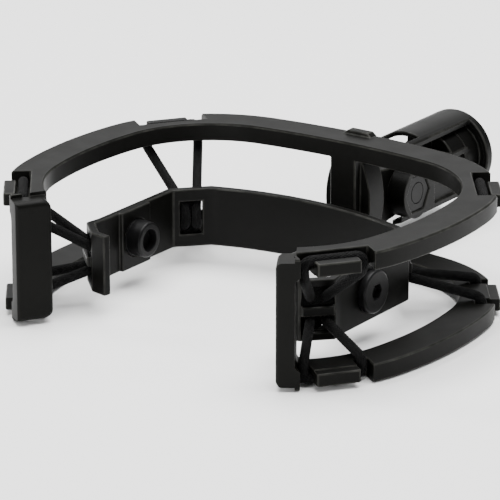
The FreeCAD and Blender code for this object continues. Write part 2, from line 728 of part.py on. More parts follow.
barrel_end = "%.6f" % barrel_rear_y
strip_start = "%s - sizes.strip_lead" % hinge_y_text
window_near = "%s - sizes.strip_window_start" % hinge_y_text
window_far = "%s + sizes.strip_window_end" % hinge_y_text
block_end = "%s - sizes.boss_length + sizes.neck_overlap" % barrel_end
level = "sizes.barrel_level"
hinge_z = "sizes.hinge_level"
ear_out = "sizes.fork_gap / 2 + sizes.ear_thickness"
ring_start = "%s - sizes.end_ring_length" % barrel_end
far_side = "2 * sizes.barrel_radius"

barrel = cut("barrel_tube",
             rod("barrel_outer", "sizes.barrel_radius", ("0", strip_start, level),
                 "%s - (%s)" % (barrel_end, strip_start), "Y"),
             rod("barrel_inner", "sizes.barrel_radius - sizes.barrel_wall",
                 ("0", "%s - 1" % strip_start, level), "%s - (%s) + 2" % (barrel_end, strip_start), "Y"))
side_cuts = []
for side_name, sign in sides:
    near, far = "sizes.strip_width / 2", far_side
    if sign < 0:
        near, far = "-" + far_side, "-sizes.strip_width / 2"
    side_cuts.append(box(side_name + "_barrel_cut",
                         (near, "%s - 2" % strip_start, "%s - %s" % (level, far_side)),
                         (far, ring_start, "%s + %s" % (level, far_side))))
top_window = box("strip_window", ("-sizes.strip_window_width / 2", window_near, level),
                 ("sizes.strip_window_width / 2", window_far, "%s + %s" % (level, far_side)))
strips = cut("barrel_strips", barrel, join("barrel_cuts", side_cuts + [top_window]))

end_web = rod("end_web", "sizes.barrel_radius - sizes.barrel_wall / 2",
              ("0", "%s - sizes.end_web_inset - sizes.end_web_thickness" % barrel_end, level),
              "sizes.end_web_thickness", "Y")
boss_start = "%s - sizes.boss_length" % barrel_end
boss = rod("boss", "sizes.boss_radius", ("0", boss_start, level), "sizes.boss_length", "Y")
neck = rod("neck", "sizes.neck_radius", ("0", "%s - sizes.neck_length" % boss_start, level),
           "sizes.neck_length + sizes.neck_overlap", "Y")
block = box("arm_block", ("-(%s)" % ear_out, hinge_y_text, "%s - sizes.block_half_height" % hinge_z),
            (ear_out, block_end, "%s + sizes.block_half_height" % hinge_z))
ears = rod("ears", "sizes.ear_radius", ("-(%s)" % ear_out, hinge_y_text, hinge_z), "2 * (%s)" % ear_out, "X")
rib_start = "%s + sizes.fork_depth + sizes.neck_overlap" % hinge_y_text
rib = box("arm_rib", ("-sizes.rib_thickness / 2", rib_start,
                      "%s - sizes.barrel_radius + sizes.barrel_wall / 2" % level),
          ("sizes.rib_thickness / 2", "%s - sizes.neck_overlap" % ring_start,
           "%s + sizes.barrel_radius - sizes.barrel_wall / 2" % level))
arm_solid = join("arm_solid", [strips, end_web, boss, neck, block, ears, rib])

slot = box("fork_slot", ("-sizes.fork_gap / 2", "%s - 2 * sizes.ear_radius" % hinge_y_text,
                         "%s - 2 * sizes.ear_radius" % hinge_z),
           ("sizes.fork_gap / 2", "%s + sizes.fork_depth" % hinge_y_text,
            "%s + 1.5 * sizes.ear_radius" % hinge_z))
panels = []
for side_name, sign in sides:
    near, far = (("%s - sizes.panel_recess" % ear_out, "%s + 2" % ear_out) if sign > 0 else
                 ("-(%s) - 2" % ear_out, "-(%s) + sizes.panel_recess" % ear_out))
    panel_start = "%s + sizes.ear_radius + sizes.panel_border" % hinge_y_text
    panels.append(box(side_name + "_panel",
                      (near, panel_start, "%s - sizes.block_half_height + sizes.panel_border" % hinge_z),
                      (far, "%s - sizes.panel_border" % block_end,
                       "%s + sizes.block_half_height - sizes.panel_border" % hinge_z)))
thread_bore = rod("thread_bore", "sizes.thread_radius",
                  ("0", "%s - sizes.thread_depth" % barrel_end, level), "sizes.thread_depth + 1", "Y")
lead_in = doc.addObject("Part::Cone", "thread_lead_in")
lead_in.Placement = Placement(Vector(), Rotation(Vector(1, 0, 0), -90))
lead_in.setExpression("Placement.Base.y", "%s - sizes.thread_lead_in" % barrel_end)
lead_in.setExpression("Placement.Base.z", level)
bound(lead_in, Radius1="sizes.thread_radius", Radius2="sizes.thread_radius + 2 * sizes.thread_lead_in",
      Height="2 * sizes.thread_lead_in")
bolt_bore = rod("arm_bolt_bore", "sizes.hinge_shank_diameter / 2 + sizes.hinge_hole_clearance",
                ("-2 * (%s)" % ear_out, hinge_y_text, hinge_z), "4 * (%s)" % ear_out, "X")
head_seat = rod("arm_head_seat", "sizes.hinge_head_diameter / 2 + sizes.nut_clearance",
                ("-(%s) - 1" % ear_out, hinge_y_text, hinge_z), "sizes.hinge_seat_depth + 1", "X")


def hexagonal_rod(name, across_flats, start_x, length):
    """A hexagonal prism along X at the hinge axis, corners to the front and the back."""
    made = doc.addObject("Part::Prism", name)
    made.Polygon = 6
    made.Placement = Placement(Vector(), Rotation(Vector(0, 1, 0), 90) * Rotation(Vector(0, 0, 1), 90))
    for axis, text in zip("xyz", (start_x, hinge_y_text, hinge_z)):
        made.setExpression("Placement.Base." + axis, text)
    return bound(made, Circumradius="(%s) / 2 / cos(30 deg)" % across_flats, Height=length)


nut_seat_x = "%s - sizes.hinge_seat_depth" % ear_out
nut_seat = hexagonal_rod("arm_nut_seat", "sizes.nut_across_flats + 2 * sizes.nut_clearance", nut_seat_x,
                         "sizes.hinge_seat_depth + 1")
arm = cut("swivel_arm", arm_solid,
          join("arm_cuts", [slot, thread_bore, lead_in, bolt_bore, head_seat, nut_seat] + panels))
arm.Label = "swivel_arm"

nut_blank = hexagonal_rod("nut_blank", "sizes.nut_across_flats", nut_seat_x, "sizes.nut_height")
hinge_nut = cut("hinge_nut", nut_blank,
                rod("nut_bore", "sizes.hinge_shank_diameter / 2 + sizes.sliding_clearance",
                    ("%s - 1" % nut_seat_x, hinge_y_text, hinge_z), "sizes.nut_height + 2", "X"))
hinge_nut.Label = "hinge_nut"

head_seat_x = "-(%s) + sizes.hinge_seat_depth" % ear_out
head_face_x = "%s - sizes.hinge_head_height" % head_seat_x
bolt_end_x = "%s + sizes.nut_height" % nut_seat_x
shank = "sizes.hinge_shank_diameter / 2"
hinge_bolt = turned_body("hinge_bolt", [
    (head_face_x, "0"),
    (head_face_x, "sizes.hinge_head_diameter / 2 - sizes.bolt_head_chamfer"),
    ("%s + sizes.bolt_head_chamfer" % head_face_x, "sizes.hinge_head_diameter / 2"),
    (head_seat_x, "sizes.hinge_head_diameter / 2"),
    (head_seat_x, shank),
    (bolt_end_x, shank),
    (bolt_end_x, "0"),
], hinge_y_text, hinge_z)
cut_hexagon(hinge_bolt, "hinge_socket", "sizes.hinge_socket", head_face_x, "sizes.hinge_socket_depth", 1,
            hinge_y_text, hinge_z)


# Elastic cords: closed loops of straight runs and tangent arcs, made as two lengths of tube.
def run_tube(points, radii, radius):
    """A tube through the points, each inner corner turned by an arc of its radius, and its length."""
    heading = (points[1] - points[0]).normalize()
    ring = Part.Circle(points[0], heading, radius).toShape()
    place = points[0]
    faces = [Part.Face(Part.Wire([ring]))]
    length = 0.0
    for corner, following, bend in zip(points[1:], points[2:], radii):
        ahead = (following - corner).normalize()
        turn = heading.getAngle(ahead)
        reach = bend * math.tan(turn / 2)
        arc_start = corner - heading * reach
        straight = arc_start - place
        axis = heading.cross(ahead).normalize()
        centre = arc_start + axis.cross(heading) * bend
        faces.append(ring.extrude(straight))
        ring = ring.translated(straight)
        faces.append(ring.revolve(centre, axis, math.degrees(turn)))
        ring = ring.rotated(centre, axis, math.degrees(turn))
        length += straight.Length + bend * turn
        place = corner + ahead * reach
        heading = ahead
    straight = points[-1] - place
    faces.append(ring.extrude(straight))
    faces.append(Part.Face(Part.Wire([ring.translated(straight)])))
    shell = Part.makeShell(faces)
    shell.sewShape()
    tube = Part.makeSolid(shell)
    if tube.Volume < 0:
        tube.reverse()
    return tube, length + straight.Length


def cord_loop(site, clip, sign):
    """The tube of one suspension cord, from its cleat site and its clip."""
    _, centre, radius, degrees = site
    cord_radius = size("cord_diameter") / 2
    channel_middle = radius + (channel_inner + channel_outer) / 2
    anchor = polar(centre, channel_middle, degrees)
    along = polar(Vector(), 1, degrees + 90)
    middle, clip_degrees = clip
    behind = size("bar_sink") + cord_radius + size("cord_pair_gap")
    clip_point = polar(middle, -behind, clip_degrees)
    clip_along = polar(Vector(), 1, clip_degrees + 90)
    at_notch = (size("notch_half_span") + size("cleat_half_length")) / 2
    at_clip = cord_radius + size("cord_pair_gap") / 2
    seat = size("channel_depth") - cord_radius - size("cord_seat_gap")
    notch_exit = size("ring_thickness") + size("cord_exit")
    clip_reach = size("bar_height") / 2 + size("cord_lead")
    route = [
        (anchor, along, 0.0, seat),
        (anchor, along, at_notch, seat),
        (anchor, along, at_notch, notch_exit),
        (clip_point, clip_along, at_clip, size("cradle_level") - clip_reach),
        (clip_point, clip_along, at_clip, size("cradle_level") + clip_reach),
        (anchor, along, at_notch, size("frame_height") - notch_exit),
        (anchor, along, at_notch, size("frame_height") - seat),
        (anchor, along, 0.0, size("frame_height") - seat),
    ]
    bends = ["channel_bend", "notch_bend", "clip_bend", "clip_bend", "notch_bend", "channel_bend"]
    halves = []
    total = 0.0
    for turn in (1, -1):
        points = [place + line * turn * offset + Vector(0, 0, height)
                  for place, line, offset, height in route]
        if sign < 0:
            points = [mirrored(point) for point in points]
        half, length = run_tube(points, [size(bend) for bend in bends], cord_radius)
        halves.append(half)
        total += length
    tube = halves[0].fuse(halves[1])
    expected = math.pi * cord_radius ** 2 * total
    print("cord length %.2f, volume ratio %.4f" % (total, tube.Volume / expected))
    return tube.Solids[0]


cords = {}
for site in cleat_sites:
    for side_name, sign in sides:
        name = "suspension_cord_%s_%s" % (site[0], side_name)
        cord = doc.addObject("Part::Feature", name)
        cord.Label = name
        cord.Shape = cord_loop(site, clip_faces[site[0]], sign)
        cords[name] = cord

# Every piece is moved so that the origin lies under the middle of the part.
pieces = [frame, cradle, arm, hinge_bolt, hinge_nut] + list(cords.values())
for nose, bolt in side_parts.values():
    pieces += [nose, bolt]
doc.recompute()
front_most_y = frame.Shape.optimalBoundingBox(False, False).YMin
to_origin = Vector(0, -(front_most_y + barrel_rear_y) / 2, 0)
for piece in pieces:
    piece.Placement = Placement(to_origin, Rotation()).multiply(piece.Placement)
doc.recompute()

failed = [item.Label for item in doc.Objects if "Invalid" in item.State or "Error" in item.State]
if failed:
    raise RuntimeError("failed objects: %s" % ", ".join(failed))
os.makedirs("parts", exist_ok=True)
whole = FreeCAD.BoundBox()
for piece in pieces:
    shape = piece.Shape
    if shape.isNull() or not shape.isValid():
        raise RuntimeError("%s has no valid shape" % piece.Label)
    whole.add(shape.BoundBox)
    print("%-32s solids %d volume %.1f" % (piece.Label, len(shape.Solids), shape.Volume))
    shape.exportStep("parts/%s.step" % piece.Label)
print("moved by y %.4f, hinge y %.4f, rear y %.4f" % (to_origin.y, hinge_y, barrel_rear_y))
print("bounds", whole)
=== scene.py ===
import math

import bmesh
import bpy
import numpy as np
from mathutils import Matrix, Vector


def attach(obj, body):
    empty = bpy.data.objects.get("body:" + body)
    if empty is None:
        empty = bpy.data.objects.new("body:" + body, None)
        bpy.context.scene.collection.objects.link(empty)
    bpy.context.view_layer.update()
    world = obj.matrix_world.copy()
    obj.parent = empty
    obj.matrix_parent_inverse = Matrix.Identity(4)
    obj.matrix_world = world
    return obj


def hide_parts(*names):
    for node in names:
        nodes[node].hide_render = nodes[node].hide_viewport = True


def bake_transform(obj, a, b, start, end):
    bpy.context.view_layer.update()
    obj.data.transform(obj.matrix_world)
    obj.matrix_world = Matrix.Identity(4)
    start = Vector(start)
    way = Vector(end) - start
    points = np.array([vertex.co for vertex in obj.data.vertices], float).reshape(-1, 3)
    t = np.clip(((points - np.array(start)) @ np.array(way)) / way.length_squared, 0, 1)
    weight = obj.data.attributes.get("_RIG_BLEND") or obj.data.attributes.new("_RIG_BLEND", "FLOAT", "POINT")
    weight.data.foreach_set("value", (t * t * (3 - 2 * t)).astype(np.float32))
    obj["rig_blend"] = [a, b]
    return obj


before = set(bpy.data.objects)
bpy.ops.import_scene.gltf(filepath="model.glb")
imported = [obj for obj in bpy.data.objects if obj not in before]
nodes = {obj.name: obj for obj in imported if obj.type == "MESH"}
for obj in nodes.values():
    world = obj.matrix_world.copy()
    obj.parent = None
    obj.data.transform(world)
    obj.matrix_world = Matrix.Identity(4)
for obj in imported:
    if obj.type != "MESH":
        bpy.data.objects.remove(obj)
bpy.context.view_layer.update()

# Camera: a long lens above the open front of the mount and to its right, 35 degrees round and
# 19 degrees up, as a product on a table is photographed.
camera_turn = math.radians(34.945)
camera_rise = math.radians(18.936)
camera_distance = 0.960993
picture_shift = (0.002245, -0.000846)
mount_front = np.array([-0.001485, -0.0299632, 0.01724])
toward_camera = np.array([
    math.sin(camera_turn) * math.cos(camera_rise),
    -math.cos(camera_turn) * math.cos(camera_rise),
    math.sin(camera_rise),
])
picture_right = np.array([math.cos(camera_turn), math.sin(camera_turn), 0.0])
picture_up = np.cross(toward_camera, picture_right)
aimed_at = mount_front + picture_shift[0] * picture_right + picture_shift[1] * picture_up
camera_axes = np.column_stack([picture_right, picture_up, toward_camera])
camera_data = bpy.data.cameras.new("product_camera")
camera_data.sensor_width = 36.0
camera_data.lens = 260.963
camera_data.clip_start = 0.05
camera_data.clip_end = 50.0
camera = bpy.data.objects.new("product_camera", camera_data)
camera.matrix_world = Matrix.Translation(Vector(aimed_at + camera_distance * toward_camera)) @ Matrix(
    camera_axes.tolist()).to_4x4()
bpy.context.scene.collection.objects.link(camera)
bpy.context.scene.camera = camera


# Table: one pale sheet of board under the mount, swept wide enough that its far edge never
# comes into a picture. It is only the stage.
def put_in_mesh(name, points, faces):
    """A mesh object at the origin from an array of points and an array of faces."""
    mesh = bpy.data.meshes.new(name)
    mesh.from_pydata(points.reshape(-1, 3).tolist(), [], faces.reshape(-1, faces.shape[-1]).tolist())
    mesh.update()
    piece = bpy.data.objects.new(name, mesh)
    bpy.context.scene.collection.objects.link(piece)
    return piece


def noise(tree, place, scale, detail=2.0):
    """A noise texture on the object's own coordinates."""
    texture = tree.nodes.new("ShaderNodeTexNoise")
    texture.inputs["Scale"].default_value = scale
    texture.inputs["Detail"].default_value = detail
    tree.links.new(place.outputs["Object"], texture.inputs["Vector"])
    return texture


def ranged(tree, value, low, high):
    """A value from 0 to 1 laid over the range from low to high."""
    spread = tree.nodes.new("ShaderNodeMapRange")
    spread.inputs["To Min"].default_value = low
    spread.inputs["To Max"].default_value = high
    tree.links.new(value, spread.inputs["Value"])
    return spread


def painted_board():
    """White paint with a trace of unevenness in its gloss."""
    board = bpy.data.materials.new("white_board")
    board.use_nodes = True
    tree = board.node_tree
    paint = tree.nodes["Principled BSDF"]
    paint.inputs["Base Color"].default_value = (0.9, 0.9, 0.895, 1)
    paint.inputs["Specular IOR Level"].default_value = 0.1
    mottle = noise(tree, tree.nodes.new("ShaderNodeTexCoord"), scale=6.0)
    gloss = ranged(tree, mottle.outputs["Fac"], low=0.75, high=0.9)
    tree.links.new(gloss.outputs["Result"], paint.inputs["Roughness"])
    return board


table_half = 6.0
table_drop = 0.0002
table_points = np.array([[-1, -1, 0], [1, -1, 0], [1, 1, 0], [-1, 1, 0]], float) * table_half
table_points[:, 2] = -table_drop
table = put_in_mesh("table_top", table_points, np.array([[0, 1, 2, 3]]))
table.data.materials.append(painted_board())


# Studio light: a big soft box low behind the mount, which lays a sheen on every level face, one
# overhead, a small one low in front, and two weak strips at the sides, in a dim room.
def soft_box(name, place, aim, width, height, power):
    """A rectangular light that faces a point."""
    data = bpy.data.lights.new(name, "AREA")
    data.shape = "RECTANGLE"
    data.size = width
    data.size_y = height
    data.energy = power
    lamp = bpy.data.objects.new(name, data)
    away = Vector(place) - Vector(aim)
    lamp.matrix_world = Matrix.Translation(Vector(place)) @ away.to_track_quat("Z", "Y").to_matrix().to_4x4()
    bpy.context.scene.collection.objects.link(lamp)


mount_middle = (0.0, -0.02, 0.018)
soft_box("back_box", (-0.80, 1.15, 0.62), mount_middle, 1.9, 0.8, 6.0)
soft_box("overhead_box", (0.0, 0.1, 1.25), mount_middle, 1.3, 1.3, 52.0)
soft_box("left_strip", (-1.15, -0.35, 0.42), mount_middle, 0.16, 1.0, 7.0)
soft_box("right_strip", (1.15, 0.40, 0.40), mount_middle, 0.16, 1.0, 3.0)
soft_box("front_box", (0.05, -1.25, 0.24), mount_middle, 0.40, 0.35, 9.0)
room = bpy.data.worlds.new("dim_room")
room.use_nodes = True
room.node_tree.nodes["Background"].inputs["Color"].default_value = (1, 1, 1, 1)
room.node_tree.nodes["Background"].inputs["Strength"].default_value = 0.3
bpy.context.scene.world = room


# Outer frame: one glass-filled nylon moulding, dyed through in a warm black. Its texture is the
# fine spark-eroded grain of the mould, a little polished where edges are handled, with a painted highlight
# in a paler colour on its rolled edges.
def two_tone(tree, factor, first, second):
    """A colour mixed of two by a factor. Sockets 6 and 7 of the node are the colours, and 2 the result."""
    mix = tree.nodes.new("ShaderNodeMix")
    mix.data_type = "RGBA"
    mix.inputs[6].default_value = (*first, 1)
    mix.inputs[7].default_value = (*second, 1)
    tree.links.new(factor, mix.inputs[0])
    return mix


def raised(tree, height, strength, distance):
    """Relief on the material's own shader, from a height."""
    relief = tree.nodes.new("ShaderNodeBump")
    relief.inputs["Strength"].default_value = strength
    relief.inputs["Distance"].default_value = distance
    tree.links.new(height, relief.inputs["Height"])
    tree.links.new(relief.outputs["Normal"], tree.nodes["Principled BSDF"].inputs["Normal"])


def moulded_nylon(name, shadow, light, dull, grain, edge):
    """Dyed nylon: cloudy tone and gloss, fine pits, and rolled edges that are smoother where rubbed and
    carry a painted highlight: a paler colour in scuffed patches.
    """
    nylon = bpy.data.materials.new(name)
    nylon.use_nodes = True
    tree = nylon.node_tree
    make, join = tree.nodes.new, tree.links.new
    skin = tree.nodes["Principled BSDF"]
    skin.inputs["Specular IOR Level"].default_value = 0.075
    place = make("ShaderNodeTexCoord")
    cloud = noise(tree, place, scale=55.0, detail=5.0)
    cloud.inputs["Roughness"].default_value = 0.62
    tone = two_tone(tree, cloud.outputs["Fac"], shadow, light)
    # The paler edge colour mixed in below is a painted highlight on the rolled edges, in scuffed patches;
    # only their lower roughness is the real polish of handling.
    scuff_and_glint_noise = noise(tree, place, scale=260.0, detail=4.0)
    rubbed_and_lit_patches = ranged(tree, scuff_and_glint_noise.outputs["Fac"], low=0.25, high=1.0)
    rubbed_and_lit_patches.inputs["From Min"].default_value = 0.35
    rubbed_and_lit_patches.inputs["From Max"].default_value = 0.65
    rolled = make("ShaderNodeAttribute")
    rolled.attribute_name = "rolled_edge"
    wear_and_highlight = make("ShaderNodeMath")
    wear_and_highlight.operation = "MULTIPLY"
    join(rubbed_and_lit_patches.outputs["Result"], wear_and_highlight.inputs[0])
    join(rolled.outputs["Fac"], wear_and_highlight.inputs[1])
    worn_and_highlit_colour = two_tone(tree, wear_and_highlight.outputs["Value"], shadow, edge)
    join(tone.outputs[2], worn_and_highlit_colour.inputs[6])
    join(worn_and_highlit_colour.outputs[2], skin.inputs["Base Color"])
    patch = noise(tree, place, scale=140.0, detail=3.0)
    gloss = ranged(tree, patch.outputs["Fac"], low=dull - 0.05, high=dull + 0.07)
    polish = make("ShaderNodeMath")
    polish.operation = "MULTIPLY_ADD"
    polish.inputs[1].default_value = -0.13
    join(wear_and_highlight.outputs["Value"], polish.inputs[0])
    join(gloss.outputs["Result"], polish.inputs[2])
    join(polish.outputs["Value"], skin.inputs["Roughness"])
    pits = make("ShaderNodeTexVoronoi")
    pits.inputs["Scale"].default_value = 3600.0
    join(place.outputs["Object"], pits.inputs["Vector"])
    dust = noise(tree, place, scale=2100.0, detail=4.0)
    rough = make("ShaderNodeMath")
    rough.operation = "MULTIPLY_ADD"
    rough.inputs[1].default_value = 0.6
    join(pits.outputs["Distance"], rough.inputs[0])
    join(dust.outputs["Fac"], rough.inputs[2])
    raised(tree, rough.outputs["Value"], strength=grain, distance=0.00003)
    return nylon


curve_lean = 0.93
curve_share = 0.5
side_share = 0.42
least_turn = 0.001


def room_beside(edge, along, corner):
    """How far an easing may cut back from one end of an edge: less than half of the shortest
    neighbour there, measured square to the edge. A neighbour that runs on in a curve allows part of
    that curve's radius, which is its length over the turn between the two."""
    room = 1.0
    shared = set(edge.link_faces)
    for other in corner.link_edges:
        reach = other.other_vert(corner).co - corner.co
        lean = abs(reach.normalized().dot(along))
        if other is edge or shared.isdisjoint(other.link_faces):
            continue
        if lean > curve_lean:
            room = min(room, curve_share * reach.length / max(math.acos(min(lean, 1.0)), least_turn))
        else:
            room = min(room, side_share * reach.length * math.sqrt(1 - lean * lean))
    return room


weld_gap = 2e-6
sliver = 6e-5
flat_turn = math.radians(0.4)
edge_turn = math.radians(28)
crease_turn = math.radians(40)
run_lean = 0.85
same_width = 1.0001


def eased_copy(node, name, body, easing, reshape=None):
    """The node's own surface, merged, with each edge of more than the edge turn rolled over by an arc, as
    the mould or the lathe leaves it. The arc takes the easing, or the least that the faces beside a run
    of edges leave, so that one run has one width: a width is handed along until none changes."""
    piece_mesh = bpy.data.meshes.new(name)
    shell = bmesh.new()
    shell.edges.layers.float.new("bevel_weight_edge")
    shell.from_mesh(nodes[node].data)
    bmesh.ops.remove_doubles(shell, verts=shell.verts, dist=weld_gap)
    bmesh.ops.dissolve_degenerate(shell, dist=sliver, edges=shell.edges)
    bmesh.ops.dissolve_limit(shell, angle_limit=flat_turn, verts=shell.verts, edges=shell.edges)
    if reshape is not None:
        reshape(shell, piece_mesh)
    width = shell.edges.layers.float["bevel_weight_edge"]
    sharp = [edge for edge in shell.edges if edge.calc_face_angle(0.0) > edge_turn]
    heading = {edge: (edge.verts[1].co - edge.verts[0].co).normalized() for edge in sharp}
    for edge in sharp:
        edge[width] = min([easing] + [room_beside(edge, heading[edge], corner) for corner in edge.verts])
    pairs = [(edge, other) for edge in sharp for corner in edge.verts for other in corner.link_edges
             if other in heading and other is not edge and abs(heading[edge].dot(heading[other])) > run_lean]
    settled = False
    while not settled:
        settled = True
        for edge, other in pairs:
            if edge[width] > other[width] * same_width:
                edge[width] = other[width]
                settled = False
    widest = max(edge[width] for edge in sharp)
    for edge in sharp:
        edge[width] /= widest
    shell.to_mesh(piece_mesh)
    shell.free()
    piece_mesh.materials.clear()
    for _ in range(2):
        piece_mesh.materials.append(None)
    piece = bpy.data.objects.new(name, piece_mesh)
    bpy.context.scene.collection.objects.link(piece)
    rolled = piece.modifiers.new("rolled_edges", "BEVEL")
    rolled.width = widest
    rolled.segments = 3
    rolled.limit_method = "WEIGHT"
    rolled.use_clamp_overlap = False
    rolled.loop_slide = False
    rolled.material = 1
    skin = bpy.data.meshes.new_from_object(piece.evaluated_get(bpy.context.evaluated_depsgraph_get()))
    skin.name = name
    piece.modifiers.clear()
    piece.data = skin
    on_edge = np.zeros(len(skin.polygons), np.int32)
    skin.polygons.foreach_get("material_index", on_edge)
    mark = skin.attributes.new("rolled_edge", "FLOAT", "FACE")
    mark.data.foreach_set("value", on_edge.astype(np.float32))
    skin.polygons.foreach_set("material_index", np.zeros_like(on_edge))
    skin.materials.clear()
    skin.shade_smooth()
    skin.set_sharp_from_angle(angle=crease_turn)
    even = piece.modifiers.new("even_faces", "WEIGHTED_NORMAL")
    even.keep_sharp = True
    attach(piece, body)
    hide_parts(node)
    return piece


# The edge colour is the painted highlight on the frame's rolled edges.
frame_nylon = moulded_nylon("frame_nylon", shadow=(0.0014, 0.0014, 0.0012), light=(0.0040, 0.0040, 0.0033),
                            dull=0.41, grain=0.16, edge=(0.026, 0.026, 0.023))
moulded_easing = 0.00045
posts_beyond = 0.03
post_angle = math.radians(59.0)
post_face = 0.0039149
post_depth = 0.0048
post_side = 0.0760
side_margin = 0.001
cut_margin = 0.0001
post_levels = ((0.034, 1.0), (0.001, -1.0))
face_roll = 0.0017
face_strips = 6
corner_roll = 0.0026
corner_strips = 7
back_strip = 0.0005
back_strips = 3
fade_depth = 0.0018


def round_off(across, rise, radius):
    """Square to disc: of two distances past the start of a rounding, in parts of its radius, each is
    shortened by the root of one less half the other's square, so a square corner becomes an arc."""
    a, b = np.clip(across / radius, 0.0, 1.0), np.clip(rise / radius, 0.0, 1.0)
    return (a * (np.sqrt(1 - b * b / 2) - 1)) * radius, (b * (np.sqrt(1 - a * a / 2) - 1)) * radius


def post_axes(side):
    """Directions out of a post's end face and out of its side at the opening."""
    end_out = (-side * math.sin(post_angle), -math.cos(post_angle), 0.0)
    return end_out, (side * math.cos(post_angle), -math.sin(post_angle), 0.0)


def cut_post_strips(shell, side):
    """Cuts one post's faces into strips where the roundings go, so that they have points to bend."""
    end_out, outward = (Vector(axis) for axis in post_axes(side))
    upright = Vector((0.0, 0.0, 1.0))
    cuts = [(end_out * (post_face - face_roll * k / face_strips), end_out)
            for k in range(1, face_strips + 1)]
    cuts += [(end_out * (post_face - post_depth + back_strip * k), end_out)
             for k in range(1, back_strips + 1)]
    cuts += [(outward * (post_side + corner_roll * k / corner_strips), outward)
             for k in range(1, corner_strips + 1)]
    for level, up in post_levels:
        for roll, strips in ((face_roll, face_strips), (corner_roll, corner_strips)):
            cuts += [(Vector((0.0, 0.0, level - up * roll * k / strips)), upright)
                     for k in range(1, strips + 1)]
    for point, normal in cuts:
        faces = [face for face in shell.faces if face.calc_center_median().x * side > posts_beyond
                 and face.calc_center_median().dot(end_out) > post_face - post_depth - cut_margin
                 and face.calc_center_median().dot(outward) > post_side - side_margin]
        edges = list({edge for face in faces for edge in face.edges})
        corners = list({corner for face in faces for corner in face.verts})
        bmesh.ops.bisect_plane(shell, geom=corners + edges + faces, dist=weld_gap, plane_co=point,
                               plane_no=normal)


def rounded_posts(shell, scratch):
    """Each post's end face rolls over at its top and bottom, and its two corners at the opening are
    full arcs. The faces are cut into strips there first, then their points follow round_off."""
    for side in (1.0, -1.0):
        cut_post_strips(shell, side)
    shell.to_mesh(scratch)
    place = np.empty(len(scratch.vertices) * 3)
    scratch.vertices.foreach_get("co", place)
    place = place.reshape(-1, 3)
    for side in (1.0, -1.0):
        end_out, outward = (np.array(axis) for axis in post_axes(side))
        here = (place[:, 0] * side > posts_beyond) & (place @ end_out > post_face - post_depth)
        for level, up in post_levels:
            inside = place @ end_out - (post_face - post_depth)
            fade = np.where(here, np.clip(inside / fade_depth, 0.0, 1.0), 0.0)
            rise = (place[:, 2] - level) * up
            along, climb = round_off(place @ end_out - post_face + face_roll, rise + face_roll, face_roll)
            place = place + here[:, None] * (along[:, None] * end_out)
            place[:, 2] += here * climb * up
            rise = (place[:, 2] - level) * up
            aside, climb = round_off(post_side + corner_roll - place @ outward, rise + corner_roll,
                                     corner_roll)
            place = place - fade[:, None] * (aside[:, None] * outward)
            place[:, 2] += fade * climb * up
    scratch.vertices.foreach_set("co", place.ravel())
    shell.clear()
    shell.from_mesh(scratch)


frame_moulding = eased_copy("outer_frame", "frame_moulding", "frame", moulded_easing, rounded_posts)
frame_moulding.data.materials.append(frame_nylon)


# Suspension cords: four closed loops of elastic, a rubber core in a tight textile braid. Each is
# stretched over the cleats of both rings and through one clip of the cradle, so its runs are straight.
cord_radius = 0.0013
cord_stations = 1100
yarns_round = 12
points_per_yarn = 6
yarn_pitch = 0.0011
yarn_height = 0.00021
yarn_sunk = 0.7
yarn_crown = 0.45
yarn_flank = 0.9
frame_height = 0.035
cord_seat = 0.0018
notch_exit = 0.006
notch_offset = 0.0078
clip_level = 0.0133
clip_reach = 0.0025
clip_offset = 0.00145
beside_corner = 0.0042
cord_places = {
    "front": ((0.0492629, -0.0623133), -37.0, (0.0353565, -0.0491637), -45.0),
    "rear": ((0.0506589, 0.0060210), 36.5, (0.0337758, -0.0080730), 43.676),
}


def toward(start, goal):
    """A point beside a corner: from it toward the next one by the spacing kept beside corners."""
    start, goal = np.array(start), np.array(goal)
    return start + (goal - start) * beside_corner / np.linalg.norm(goal - start)


def quarter_route(anchor, outward, clip, clip_outward, turn, seat, leave):
    """Route points of a quarter loop, from the middle of a cleat to the clip. The turn is 1 or -1 for
    the two strands of a pair, the seat and the leave the heights in the channel and at its notch. A
    cleat and a clip are each given by a place and by the direction that they face, in degrees."""
    facing, clip_facing = math.radians(outward + 90), math.radians(clip_outward + 90)
    along = np.array([math.cos(facing), math.sin(facing), 0.0]) * turn
    clip_along = np.array([math.cos(clip_facing), math.sin(clip_facing), 0.0]) * turn
    foot = np.array([anchor[0], anchor[1], 0.0])
    rise = clip_level - clip_reach if leave < clip_level else clip_level + clip_reach
    channel_end = foot + along * notch_offset + [0.0, 0.0, seat]
    notch = foot + along * notch_offset + [0.0, 0.0, leave]
    bar = np.array([clip[0], clip[1], rise]) + clip_along * clip_offset
    return [toward(channel_end, foot + [0.0, 0.0, seat]), channel_end, notch, toward(notch, bar),
            toward(bar, notch), bar]


